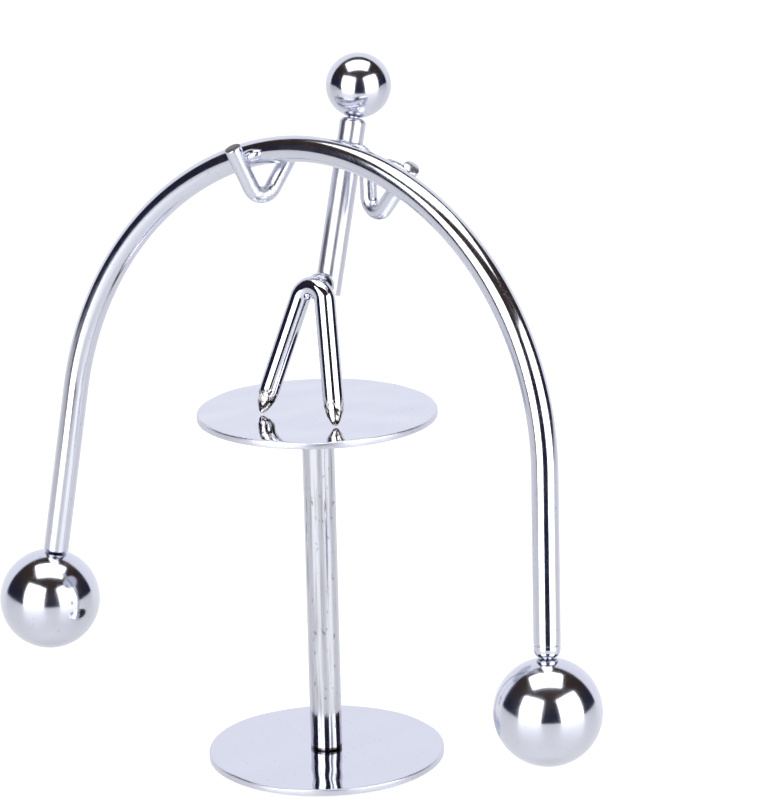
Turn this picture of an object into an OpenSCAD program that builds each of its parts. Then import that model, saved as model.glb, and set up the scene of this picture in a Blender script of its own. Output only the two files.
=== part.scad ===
/* [Stand] */
// Diameter of the base disc
base_d = 46; // [36:1:70]
// Thickness of the base disc
base_t = 1.4; // [1.2:0.1:3]
// Diameter of the column
column_d = 6.2; // [5:0.1:10]
// Height of the table's top face above the bench
table_height = 70; // [60:1:120]
// Diameter of the table disc
table_d = 46; // [34:1:70]
// Thickness of the table disc
table_t = 1.4; // [1:0.1:3]
// Broken edge round both discs
rim_break = 0.15; // [0.05:0.05:0.4]
// Broken edge at both ends of the column
column_break = 0.2; // [0.1:0.05:0.6]

/* [Base screw] */
// Diameter of the screw's shank
screw_d = 2; // [1.6:0.1:2.6]
// Length of the screw, head included
screw_len = 8; // [6:0.5:16]
// Diameter of the countersunk head
screw_head_d = 3.8; // [3.2:0.1:4.4]
// How far the head lies inside the base disc's underside
screw_sink = 0.1; // [0.05:0.05:0.2]
// Width of the driver slot
slot_w = 0.5; // [0.3:0.1:0.8]
// Depth of the driver slot
slot_depth = 0.4; // [0.2:0.1:0.5]

/* [Table stud] */
// Diameter of the stud that the table turns on
stud_d = 3; // [2:0.1:4]
// Length of the stud below the table disc
stud_len = 9; // [5:0.5:20]

/* [Legs] */
// Diameter of the leg wire
leg_d = 4; // [3:0.1:4.8]
// Distance from the middle plane to each foot tip
foot_out = 8.6; // [6:0.1:14]
// Distance up the legs' plane to the point where both leg lines meet
leg_meet = 33.5; // [28:0.1:45]
// Backward lean of the legs' plane
leg_lean = 13.9; // [5:0.1:20]
// Centreline radius of the bend at the hip
hip_bend = 3; // [2.7:0.1:4.5]
// Length of the bullet-shaped foot above the centre of its tip
foot_point = 4.8; // [3:0.1:8]
// Diameter of the foot's rounded tip
foot_tip_d = 1.5; // [0.8:0.1:2]
// Where the figure stands, to the right of the column's axis
stance_x = 1.6; // [-4:0.1:4]
// Where the foot tips stand, behind the column's axis (negative is in front)
stance_y = -7.8; // [-10:0.1:2]

/* [Torso and head] */
// Diameter of the torso rod
torso_d = 5; // [4:0.1:7]
// Backward lean of the torso rod
torso_lean = 16.7; // [5:0.1:22]
// Length of the torso rod below the hip bend
torso_tail = 1; // [0.8:0.1:8]
// Distance up the torso's axis from the hip bend to the head's centre
head_rise = 38.9; // [34:0.1:50]
// Diameter of the head
head_d = 12.4; // [11:0.1:18]

/* [Bow and weights] */
// Diameter of the bow rod
bow_d = 5; // [4:0.1:7]
// Centreline radius of the bow's top arc
bow_top_radius = 50; // [45:0.5:65]
// Half of the top arc's angle
bow_top_half = 20; // [10:0.5:30]
// Centreline radius of the bow's side arcs
bow_side_radius = 59; // [50:0.5:70]
// Angle from the top at which the side arcs end
bow_side_end = 84.5; // [75:0.5:90]
// Straight run from the side arc to the weight's centre
bow_straight = 43.5; // [34:0.5:60]
// Forward lean of the bow's lower ends
bow_lean = 8; // [4:0.1:14]
// Height of the bow's top above the table
bow_rise = 50.5; // [44:0.5:60]
// Diameter of each weight
weight_d = 20; // [17:0.5:26]

/* [Turned rod ends] */
// Diameter of the spigot that enters a ball
spigot_d = 2.3; // [1.6:0.1:3]
// Length of the spigot inside the ball
spigot_len = 4; // [2:0.1:5]
// Free neck between the ball and the rod's shoulder
neck_gap = 0.08; // [0.05:0.01:0.5]
// Radius of the rounded shoulder under the head and at the right weight
shoulder_round = 0.9; // [0.3:0.05:1.2]
// Radius of the rounded shoulder at the left weight
left_shoulder_round = 0.35; // [0.2:0.05:1.2]
// Distance from the right weight's rounded shoulder up to the groove
groove_up = 1.2; // [0.5:0.1:4]
// Width of the groove
groove_w = 0.25; // [0.15:0.05:0.5]
// Depth of the groove
groove_depth = 0.15; // [0.05:0.05:0.3]
// Spare depth of the bore under the spigot
bore_spare = 0.4; // [0.2:0.1:1]

/* [Arms] */
// Diameter of the arm wire
arm_d = 3.2; // [2:0.1:3.5]
// Height above the table where the arms' bar crosses the torso's axis
arm_rise = 48.4; // [45:0.1:52]
// Turn of the arms' bar, seen from above
arm_yaw = 0; // [-5:0.5:12]
// Length of the bar out to the left shoulder
left_shoulder_out = 9.5; // [5:0.1:11]
// Length of the bar out to the right shoulder
right_shoulder_out = 7.2; // [5:0.1:9]
// Distance from the left shoulder out to the left elbow
left_elbow_out = 7.8; // [6:0.1:10]
// Distance from the right shoulder out to the right elbow
right_elbow_out = 0.5; // [0.5:0.1:6]
// Drop from the shoulders to the left elbow
left_elbow_drop = 11.7; // [9:0.1:14]
// Drop from the shoulders to the right elbow
right_elbow_drop = 14.6; // [10:0.1:16]
// Centreline radius of the bend at each shoulder
shoulder_bend = 2.5; // [2:0.1:2.8]
// Centreline radius of the bend at each elbow
elbow_bend = 2.6; // [1.8:0.1:3.2]
// Angle round the bow's top at which the left hand holds it
left_grip_angle = 17.6; // [15:0.1:22]
// Angle round the bow's top at which the right hand holds it
right_grip_angle = 21.4; // [18:0.1:26]
// Length of the left hand beyond its hold on the bow
left_hand = 4; // [2:0.1:5]
// Length of the right hand beyond its hold on the bow
right_hand = 1.5; // [1.2:0.1:4]
// Broken edge at the cut ends of the arm wire and the torso's tail
wire_break = 0.2; // [0.1:0.05:0.5]

/* [Welds] */
// Radius of the weld at the hip
hip_weld_radius = 2.8; // [2.6:0.1:3]
// Height of the hip weld's middle above the line where the rods touch
hip_weld_rise = 0.3; // [0.2:0.1:0.4]
// Radius of the weld at the shoulders
shoulder_weld_radius = 2.2; // [1.9:0.1:2.8]
// Radius of the weld at each hand
hand_weld_radius = 2.2; // [1.9:0.1:2.8]
// Diameter of the spot inside each weld where the rods touch and no weld runs in
weld_core_d = 1.6; // [1.2:0.1:2]

/* [Fits] */
// Gap between rods that are welded together
touch_gap = 0.02; // [0.01:0.01:0.04]
// Gap between a weld and the rods that it joins
weld_gap = 0.03; // [0.02:0.01:0.05]
// Gap between pieces that are pressed or screwed together
seat_gap = 0.02; // [0.01:0.01:0.05]
// Radial running gap between the stud and the column
turn_gap = 0.05; // [0.03:0.01:0.1]
// Gap between the turning table and the column's top
table_gap = 0.05; // [0.03:0.01:0.2]
// Gap under the foot tips, so that the figure rocks freely
foot_gap = 0.05; // [0.03:0.01:0.2]

/* [Hidden] */
$fn = 96;
chrome = [0.80, 0.81, 0.88];
weld_chrome = [0.72, 0.73, 0.80];
round_steps = 8;
// Part of a foot's round tip that it can rock on
tip_angle = 50;
// Where two stretches of a wire meet, one is thinner by the step and laps the other by the join
step = 0.01;
join = 0.05;
left = 0;
right = 1;
sides = [-1, 1];
up = [0, 0, 1];

// The figure's own origin is on the table, midway between the foot tips
foot_tip_z = foot_gap + foot_tip_d / 2;
leg_up = [0, sin(leg_lean), cos(leg_lean)];
foot_middle = [0, 0, foot_tip_z];
feet = [for (s = sides) foot_middle + [s * foot_out, 0, 0]];
leg_apex = foot_middle + leg_up * leg_meet;
leg_half_angle = atan2(foot_out, leg_meet);
hip_top = foot_middle + leg_up * (leg_meet - hip_bend / sin(leg_half_angle) + hip_bend);
leg_path = [feet[left], leg_apex, feet[right]];

// The torso leans back and touches the hip bend from behind
torso_up = [0, sin(torso_lean), cos(torso_lean)];
torso_back = [0, cos(torso_lean), -sin(torso_lean)];
hip_hold = hip_top + torso_back * (leg_d + touch_gap) / 2 + torso_up * hip_weld_rise;
torso_hip = hip_top + torso_back * (leg_d / 2 + touch_gap + torso_d / 2);
torso_bottom = torso_hip - torso_up * torso_tail;
head_centre = torso_hip + torso_up * head_rise;

// The arms' bar crosses the front of the torso
bar_along = [cos(arm_yaw), sin(arm_yaw), 0];
bar_front = unit(cross(torso_up, bar_along)) * -1;
torso_chest = torso_hip + torso_up * (arm_rise - torso_hip.z) / torso_up.z;
bar_middle = torso_chest + bar_front * (torso_d / 2 + touch_gap + arm_d / 2);
chest_hold = torso_chest + bar_front * (torso_d + touch_gap) / 2;

// The bow's three arcs, in its own plane with the top at the origin
side_centre_x = (bow_top_radius - bow_side_radius) * sin(bow_top_half);
side_centre_drop = bow_top_radius - (bow_top_radius - bow_side_radius) * cos(bow_top_half);
bow_end = arc_point(bow_side_end);
bow_end_along = [cos(bow_side_end), 0, -sin(bow_side_end)];
weight_place = bow_end + bow_end_along * bow_straight;

// The bow lies where the whole figure balances over its foot tips
turn_per_degree = PI / 180;
rod_run = bow_straight - weight_d / 2;
top_turn = bow_top_half * turn_per_degree;
side_turn = bow_side_end * turn_per_degree - top_turn;
bow_masses = [
    [rod_volume(bow_d, 2 * bow_top_radius * top_turn),
        bow_top_radius * (1 - sin(bow_top_half) / top_turn)],
    [rod_volume(bow_d, 2 * bow_side_radius * side_turn),
        side_centre_drop - bow_side_radius * (sin(bow_side_end) - sin(bow_top_half)) / side_turn],
    [rod_volume(bow_d, 2 * rod_run), -bow_end.z + rod_run / 2 * sin(bow_side_end)],
    [2 * ball_volume(weight_d), -weight_place.z]];
bow_volume = total([for (m = bow_masses) m[0]]);
bow_moment = total([for (m = bow_masses) m[0] * m[1]]) * sin(bow_lean);
leg_run = norm(hip_top - feet[left]);
torso_run = torso_tail + head_rise - head_d / 2;
arm_run = left_shoulder_out + right_shoulder_out + norm([left_elbow_out, left_elbow_drop])
    + norm([right_elbow_out, right_elbow_drop]) + left_elbow_drop + right_elbow_drop;
torso_moment = rod_volume(torso_d, torso_run) * (torso_bottom.y + torso_up.y * torso_run / 2);
head_moment = ball_volume(head_d) * head_centre.y;
leg_moment = rod_volume(leg_d, 2 * leg_run) * hip_top.y / 2;
arm_volume = rod_volume(arm_d, arm_run);
bow_y = (bow_moment - torso_moment - head_moment - leg_moment - arm_volume * bar_middle.y / 2)
    / (bow_volume + arm_volume / 2);
bow_top = [0, bow_y, bow_rise];
top_join = join / bow_top_radius / turn_per_degree;

// Each arm hangs in an upright plane from its shoulder to its hold on the bow
shoulder_out = [left_shoulder_out, right_shoulder_out];
elbow_out = [left_elbow_out, right_elbow_out];
elbow_drop = [left_elbow_drop, right_elbow_drop];
grip_angles = [-left_grip_angle, right_grip_angle];
hand_run = [left_hand, right_hand];
hold_distance = bow_d / 2 + touch_gap + arm_d / 2;
shoulders = [for (i = [left, right]) bar_middle + bar_along * sides[i] * shoulder_out[i]];
grips = [for (i = [left, right]) settled_grip(i, on_bow(arc_point(grip_angles[i])), round_steps)];
elbows = [for (i = [left, right]) elbow_for(i, grips[i])];
hands = [for (i = [left, right]) grips[i] + unit(grips[i] - elbows[i]) * hand_run[i]];
arm_path = [hands[left], elbows[left], shoulders[left], shoulders[right], elbows[right],
    hands[right]];
arm_bends = [0, elbow_bend, shoulder_bend, shoulder_bend, elbow_bend, 0];

function unit(v) = v / norm(v);
function total(v, i = 0) = i < len(v) ? v[i] + total(v, i + 1) : 0;
function rod_volume(d, run) = PI * d * d / 4 * run;
function ball_volume(d) = PI * pow(d, 3) / 6;

// A point of the bow's centreline at an angle from its top, negative to the left
function arc_point(a) = abs(a) <= bow_top_half
    ? [bow_top_radius * sin(a), 0, bow_top_radius * (cos(a) - 1)]
    : [sign(a) * (side_centre_x + bow_side_radius * sin(abs(a))), 0,
        bow_side_radius * cos(a) - side_centre_drop];
function leaned(v) = [v.x, v.z * sin(bow_lean), v.z * cos(bow_lean)];
function on_bow(p) = bow_top + leaned(p);
function bow_along(a) = leaned([cos(a), 0, -sin(a)]);

// Where an arm bends, when its hand holds the bow at the given point
function elbow_for(i, grip) = let (
        s = shoulders[i],
        way = unit([grip.x - s.x, grip.y - s.y, 0]))
    s + way * elbow_out[i] - up * elbow_drop[i];

// The left hand lies against the bow's front, and the right hand against its back
function next_grip(i, grip) = let (
        reach = unit(grip - elbow_for(i, grip)),
        away = unit(cross(reach, bow_along(grip_angles[i]))))
    on_bow(arc_point(grip_angles[i])) + away * sign(away.y * sides[i]) * hold_distance;
function settled_grip(i, grip, n) = n > 0 ? settled_grip(i, next_grip(i, grip), n - 1) : grip;

// A rod's turned end: straight, groove if it has one, rounded shoulder, neck and spigot
function turned_end(d, run, ball_d, round, grooved) = let (
        r = d / 2,
        shoulder = run - ball_d / 2 - neck_gap,
        groove = shoulder - round - groove_up,
        tip = run - ball_d / 2 + spigot_len,
        arc = [for (i = [0:round_steps]) let (a = 90 * i / round_steps)
            [r - round * (1 - cos(a)), shoulder - round * (1 - sin(a))]])
    concat(grooved
        ? [[r, groove - groove_w], [r - groove_depth, groove - groove_w],
            [r - groove_depth, groove], [r, groove]]
        : [],
        arc,
        [[spigot_d / 2, shoulder], [spigot_d / 2, tip - wire_break],
        [spigot_d / 2 - wire_break, tip], [0, tip]]);

// A bullet point: a round tip, then a curve that leaves it smoothly and ends along the wire
function foot_outline() = let (
        tip_r = foot_tip_d / 2,
        wall = leg_d / 2 - step,
        start = tip_r * [sin(tip_angle), -cos(tip_angle)],
        bulge = [wall, start.y + (wall - start.x) * tan(tip_angle)],
        full = [wall, foot_point])
    concat([for (i = [0:round_steps - 1]) let (a = tip_angle * i / round_steps)
            tip_r * [sin(a), -cos(a)]],
        [for (i = [0:round_steps]) let (t = i / round_steps)
            pow(1 - t, 2) * start + 2 * t * (1 - t) * bulge + t * t * full],
        [[wall, foot_point + join], [0, foot_point + join]]);

// The cut end of an arm, with its edge broken
function hand_outline() = let (r = arm_d / 2 - step)
    [[0, 0], [r - wire_break, 0], [r, wire_break], [r, wire_break + join],
        [0, wire_break + join]];

function corner_angle(p, c, q) = acos(unit(p - c) * unit(q - c));
function corner_cut(p, c, q, r) = r / tan(corner_angle(p, c, q) / 2);

// Puts its child at p, with its upright axis towards q
module along(p, q) {
    u = unit(q - p);
    translate(p)
        rotate([0, acos(u.z), atan2(u.y, u.x)])
            children();
}

// A bend of a round wire at the corner c
module bend_at(p, c, q, r, d) {
    a = unit(p - c);
    inner = corner_angle(p, c, q);
    middle = c + unit(a + unit(q - c)) * r / sin(inner / 2);
    out = unit(c + a * corner_cut(p, c, q, r) - middle);
    side = cross(out, -a);
    multmatrix([[out.x, -a.x, side.x, middle.x],
        [out.y, -a.y, side.y, middle.y],
        [out.z, -a.z, side.z, middle.z],
        [0, 0, 0, 1]])
        rotate_extrude(angle = 180 - inner)
            translate([r, 0])
                circle(d = d - 2 * step);
}

// A bent round wire through the points, its two ends cut back by the trim
module wire(points, bends, d, trim) {
    last = len(points) - 1;
    cuts = [for (i = [0:last]) i == 0 || i == last
        ? trim
        : corner_cut(points[i - 1], points[i], points[i + 1], bends[i]) - join];
    for (i = [1:last])
        along(points[i - 1], points[i])
            translate([0, 0, cuts[i - 1]])
                cylinder(d = d, h = norm(points[i] - points[i - 1]) - cuts[i - 1] - cuts[i]);
    for (i = [1:last - 1])
        bend_at(points[i - 1], points[i], points[i + 1], bends[i], d);
}

module disc(d, t) {
    rotate_extrude()
        polygon([[0, 0], [d / 2 - rim_break, 0], [d / 2, rim_break], [d / 2, t - rim_break],
            [d / 2 - rim_break, t], [0, t]]);
}

module on_table() {
    translate([stance_x, stance_y, table_height])
        children();
}

module bow_arc(r, d, x, drop, from, to) {
    translate([x, 0, -drop])
        rotate([90, 0, 0])
            rotate([0, 0, 90 - to])
                rotate_extrude(angle = to - from)
                    translate([r, 0])
                        circle(d = d);
}

module bow_half(round, grooved) {
    bow_arc(bow_side_radius, bow_d - 2 * step, side_centre_x, side_centre_drop,
        bow_top_half, bow_side_end);
    along(bow_end, weight_place)
        rotate_extrude()
            polygon(concat([[0, -join], [bow_d / 2, -join]],
                turned_end(bow_d, bow_straight, weight_d, round, grooved)));
}

// A ball with a blind bore for its spigot, the bore's mouth towards -Z
module bored_ball(d) {
    difference() {
        sphere(d = d);
        translate([0, 0, -d])
            cylinder(d = spigot_d + 2 * seat_gap, h = d / 2 + spigot_len + bore_spare);
    }
}

module weight(side) {
    place = on_bow([side * weight_place.x, 0, weight_place.z]);
    from = on_bow([side * bow_end.x, 0, bow_end.z]);
    on_table()
        translate(place)
            along([0, 0, 0], place - from)
                bored_ball(weight_d);
}

// The torso as a plain rod, with a gap round it that a weld keeps to
module torso_room() {
    along(torso_bottom, head_centre)
        translate([0, 0, -weld_gap])
            cylinder(d = torso_d + 2 * weld_gap, h = torso_tail + head_rise);
}

// A weld before its rods are cut out of it, its axis through both rods
module weld_blob(centre, axis, r) {
    along(centre, centre + axis)
        difference() {
            sphere(r = r);
            translate([0, 0, -r])
                cylinder(d = weld_core_d, h = 2 * r);
        }
}

// The bow curves away from a straight rod, so its room in a weld has twice the gap
module hand_weld(i) {
    grip = on_bow(arc_point(grip_angles[i]));
    lean = unit(grips[i] - grip);
    beyond = 2 * hand_weld_radius;
    reach = bow_along(grip_angles[i]) * beyond;
    on_table()
        difference() {
            weld_blob(grip + lean * (bow_d + touch_gap) / 2, lean, hand_weld_radius);
            along(grip - reach, grip + reach)
                cylinder(d = bow_d + 4 * weld_gap, h = 2 * beyond);
            along(elbows[i], hands[i])
                cylinder(d = arm_d + 2 * weld_gap, h = norm(hands[i] - elbows[i]) + beyond);
        }
}

module base_disc() {
    color(chrome)
        difference() {
            disc(base_d, base_t);
            translate([0, 0, -base_t])
                cylinder(d = screw_d + 2 * seat_gap, h = 3 * base_t);
            translate([0, 0, -seat_gap])
                cylinder(d1 = screw_head_d + 2 * (screw_sink + 2 * seat_gap),
                    d2 = screw_d + 2 * seat_gap,
                    h = (screw_head_d - screw_d) / 2 + screw_sink + seat_gap);
        }
}

module base_screw() {
    color(weld_chrome)
        difference() {
            rotate_extrude()
                polygon([[0, screw_sink], [screw_head_d / 2, screw_sink],
                    [screw_d / 2, screw_sink + (screw_head_d - screw_d) / 2],
                    [screw_d / 2, screw_len - wire_break], [screw_d / 2 - wire_break, screw_len],
                    [0, screw_len]]);
            translate([-screw_head_d, -slot_w / 2, screw_sink - slot_depth])
                cube([2 * screw_head_d, slot_w, 2 * slot_depth]);
        }
}

module column() {
    bottom = base_t;
    top = table_height - table_t - table_gap;
    color(chrome)
        difference() {
            rotate_extrude()
                polygon([[0, bottom], [column_d / 2 - column_break, bottom],
                    [column_d / 2, bottom + column_break], [column_d / 2, top - column_break],
                    [column_d / 2 - column_break, top], [0, top]]);
            cylinder(d = screw_d + 2 * seat_gap, h = screw_len + bore_spare);
            translate([0, 0, table_height - table_t - stud_len - bore_spare])
                cylinder(d = stud_d + 2 * turn_gap, h = stud_len + bore_spare + table_t);
        }
}

module table_disc() {
    color(chrome)
        translate([0, 0, table_height - table_t])
            disc(table_d, table_t);
}

module table_stud() {
    top = table_height - table_t;
    color(weld_chrome)
        rotate_extrude()
            polygon([[0, top - stud_len], [stud_d / 2 - wire_break, top - stud_len],
                [stud_d / 2, top - stud_len + wire_break], [stud_d / 2, top], [0, top]]);
}

module bow_rod() {
    color(chrome)
        on_table()
            translate(bow_top)
                rotate([-bow_lean, 0, 0]) {
                    bow_arc(bow_top_radius, bow_d, 0, bow_top_radius,
                        -bow_top_half - top_join, bow_top_half + top_join);
                    bow_half(shoulder_round, true);
                    mirror([1, 0, 0])
                        bow_half(left_shoulder_round, false);
                }
}

module left_weight() {
    color(chrome)
        weight(sides[left]);
}

module right_weight() {
    color(chrome)
        weight(sides[right]);
}

module legs_wire() {
    color(chrome)
        on_table() {
            wire(leg_path, [0, hip_bend, 0], leg_d, foot_point);
            for (foot = feet)
                along(foot, leg_apex)
                    rotate_extrude()
                        polygon(foot_outline());
        }
}

module torso_rod() {
    color(chrome)
        on_table()
            along(torso_bottom, head_centre)
                rotate_extrude()
                    polygon(concat([[0, 0], [torso_d / 2 - wire_break, 0],
                        [torso_d / 2, wire_break]],
                        turned_end(torso_d, torso_tail + head_rise, head_d, shoulder_round,
                            false)));
}

module head_ball() {
    color(chrome)
        on_table()
            translate(head_centre)
                along([0, 0, 0], torso_up)
                    bored_ball(head_d);
}

module arms_wire() {
    color(chrome)
        on_table() {
            wire(arm_path, arm_bends, arm_d, wire_break);
            for (i = [left, right])
                along(hands[i], elbows[i])
                    rotate_extrude()
                        polygon(hand_outline());
        }
}

module hip_weld() {
    color(weld_chrome)
        on_table()
            difference() {
                weld_blob(hip_hold, torso_back, hip_weld_radius);
                wire(leg_path, [0, hip_bend, 0], leg_d + 2 * weld_gap, foot_point);
                torso_room();
            }
}

module shoulder_weld() {
    color(weld_chrome)
        on_table()
            difference() {
                weld_blob(chest_hold, bar_front, shoulder_weld_radius);
                wire(arm_path, arm_bends, arm_d + 2 * weld_gap, wire_break);
                torso_room();
            }
}

module left_hand_weld() {
    color(weld_chrome)
        hand_weld(left);
}

module right_hand_weld() {
    color(weld_chrome)
        hand_weld(right);
}

base_disc();
base_screw();
column();
table_disc();
table_stud();
bow_rod();
left_weight();
right_weight();
legs_wire();
torso_rod();
head_ball();
arms_wire();
hip_weld();
shoulder_weld();
left_hand_weld();
right_hand_weld();
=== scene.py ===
"""The look of a chromed balance toy: a bent-wire figure that rocks on a table disc and holds a weighted bow."""

import bpy
import numpy as np
from mathutils import Matrix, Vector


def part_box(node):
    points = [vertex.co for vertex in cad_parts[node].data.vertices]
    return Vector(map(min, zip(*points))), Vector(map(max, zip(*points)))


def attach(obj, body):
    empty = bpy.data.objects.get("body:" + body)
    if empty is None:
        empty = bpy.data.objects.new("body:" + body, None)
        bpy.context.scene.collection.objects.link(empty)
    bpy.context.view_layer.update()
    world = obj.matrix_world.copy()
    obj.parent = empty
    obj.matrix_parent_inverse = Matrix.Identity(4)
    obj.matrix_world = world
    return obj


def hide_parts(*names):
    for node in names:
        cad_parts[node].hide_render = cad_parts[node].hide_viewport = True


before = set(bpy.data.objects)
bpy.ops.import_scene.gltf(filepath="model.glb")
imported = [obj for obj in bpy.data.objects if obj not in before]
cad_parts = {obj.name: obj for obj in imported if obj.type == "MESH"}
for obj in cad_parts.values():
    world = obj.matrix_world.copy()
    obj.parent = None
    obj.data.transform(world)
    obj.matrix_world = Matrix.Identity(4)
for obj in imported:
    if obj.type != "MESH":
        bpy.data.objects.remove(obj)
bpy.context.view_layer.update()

# Sizes in millimetres, as in the part's source
MILLIMETRE = 0.001
FIGURE_PLACE = np.array([1.6, -7.8, 70.0])
BOW_TOP = np.array([0.0, 7.2814, 50.5])
BOW_LEAN = np.radians(8.0)
BOW_D = 5.0
TOP_RADIUS, TOP_HALF = 50.0, np.radians(20.0)
SIDE_RADIUS, SIDE_END = 59.0, np.radians(84.5)
BOW_STRAIGHT, BOW_RINGS = 43.5, 361
WEIGHT_D = 20.0
HEAD_D = 12.4
TORSO_D = 5.0
TORSO_LEAN = np.radians(16.7)
TORSO_BOTTOM = np.array([0, 9.912, 22.2628])
TORSO_RUN, TAIL_RUN, TORSO_RINGS = 39.9, 4.0, 28
LEG_D = 4.0
LEG_APEX = np.array([0, 8.0476, 33.319])
HIP_BEND = 3.0
FOOT_OUT, FOOT_HEIGHT = 8.6, 0.8
FOOT_POINT, FOOT_TIP_R, TIP_ANGLE = 4.8, 0.75, np.radians(50)
ARM_D = 3.2
ARM_CORNERS = np.array([
    [-15.1956, 1.6594, 50.3999], [-12.8112, 6.7450, 37.8839], [-9.5, 13.8073, 49.5839],
    [7.2, 13.8073, 49.5839], [7.6847, 13.6847, 34.9839], [19.8625, 10.6046, 48.6474]])
ARM_BENDS = [0.0, 2.6, 2.5, 2.5, 2.6, 0.0]
SPIGOT_R, SPIGOT_RUN, SPIGOT_BREAK, NECK_GAP = 1.15, 4.0, 0.15, 0.08
SHOULDER_ROUND, SHOULDER_RUN, LEFT_SHOULDER_ROUND = 0.9, 1.7, 0.35
GROOVE_UP, GROOVE_W, GROOVE_DEPTH, GROOVE_EDGE = 1.2, 0.25, 0.15, 0.04
BORE_R, BORE_SPARE, BORE_LIP = 1.17, 0.4, 0.12
CUT_EDGE = 0.2
DISC_R, DISC_T = 23.0, 1.4
DISC_LOW_ROLL, DISC_TOP_ROLL, DISC_STEP = 0.15, 0.35, 0.45
BASE_RIPPLE, TABLE_RIPPLE, RIPPLE_WAVES = 0.014, 0.020, 9
SCREW_HOLE_R, SCREW_HEAD_R, SCREW_HEAD_TOP, BASE_HOLE_START, HOLE_ROUND = 1.02, 2.06, 1.04, 2.0, 0.1
COLUMN_R, COLUMN_BREAK, COLUMN_GAP, TABLE_HEIGHT = 3.1, 0.2, 0.05, 70.0
COLUMN_ROUND, COLUMN_STEP = 0.05, 0.8
SCREW_BORE_TOP, STUD_BORE_R, STUD_BORE_FLOOR = 8.4, 1.55, 59.2

# Surfaces: the share of a side that a rounding may take, the steps along a wire, and the angle of a sharp edge
MOST_OF_SIDE = 0.4
BEND_STEP, STRAIGHT_STEP = 0.2, 0.5
SHARP_ANGLE = np.radians(40)


def rounded(corners, rounding, longest=1.0, steps=5):
    """A run of (radius, height) corners, each inner one turned into a parabola that starts and ends `rounding`
    away from it: (1-u)^2 a + 2u(1-u) corner + u^2 b. The straights are cut into equal steps."""
    corners = np.asarray(corners, float)
    rounding = np.broadcast_to(rounding, len(corners))
    sides = np.diff(corners, axis=0)
    lengths = np.linalg.norm(sides, axis=1)
    ways = sides / lengths[:, None]
    u = np.linspace(0, 1, steps)[:, None]
    out = [corners[:1]]
    for i in range(1, len(corners) - 1):
        a = corners[i] - ways[i - 1] * min(rounding[i], lengths[i - 1] * MOST_OF_SIDE)
        b = corners[i] + ways[i] * min(rounding[i], lengths[i] * MOST_OF_SIDE)
        out.append(straight(out[-1][-1], a, longest, rounding[i]))
        out.append((1 - u) ** 2 * a + 2 * u * (1 - u) * corners[i] + u ** 2 * b)
    out.append(straight(out[-1][-1], corners[-1], longest, rounding[-2]))
    out.append(corners[-1:])
    return np.concatenate(out)


def straight(start, end, longest, margin):
    """Points strictly between two ends: one a margin in from each, and equal steps between those."""
    run = np.linalg.norm(end - start)
    if run < 3 * margin:
        return start + (end - start) * np.array([[0.5]])
    inner = np.linspace(margin / run, 1 - margin / run, max(2, int(np.ceil(run / longest)) + 1))
    return start + (end - start) * inner[:, None]


def bent(corners, bends):
    """Points and directions along a wire: straight runs between corners, joined by arcs of the bend radius, where
    the arc's point at an angle t is its middle + radius * (cos t * out + sin t * ahead)."""
    corners = np.asarray(corners, float)
    ways = np.diff(corners, axis=0)
    ways /= np.linalg.norm(ways, axis=1)[:, None]
    points, along, start = [], [], corners[0]
    for i in range(1, len(corners)):
        end, arc = corners[i], None
        if i < len(corners) - 1 and bends[i] > 0:
            turn = np.arccos(np.clip(ways[i - 1] @ ways[i], -1, 1))
            cut = bends[i] * np.tan(turn / 2)
            end = corners[i] - ways[i - 1] * cut
            inward = ways[i] - ways[i - 1] * (ways[i - 1] @ ways[i])
            inward /= np.linalg.norm(inward)
            t = np.linspace(0, turn, max(12, int(turn * bends[i] / BEND_STEP)))[1:-1, None]
            arc = (end + inward * bends[i] + bends[i] * (np.sin(t) * ways[i - 1] - np.cos(t) * inward),
                   np.cos(t) * ways[i - 1] + np.sin(t) * inward)
        run = np.linspace(0, 1, max(3, int(np.linalg.norm(end - start) / STRAIGHT_STEP)))[:, None]
        points.append(start + (end - start) * run)
        along.append(np.repeat(ways[i - 1][None], len(run), 0))
        if arc is not None:
            points.append(arc[0])
            along.append(arc[1])
            start = corners[i] + ways[i] * cut
    return np.concatenate(points), np.concatenate(along)


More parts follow.
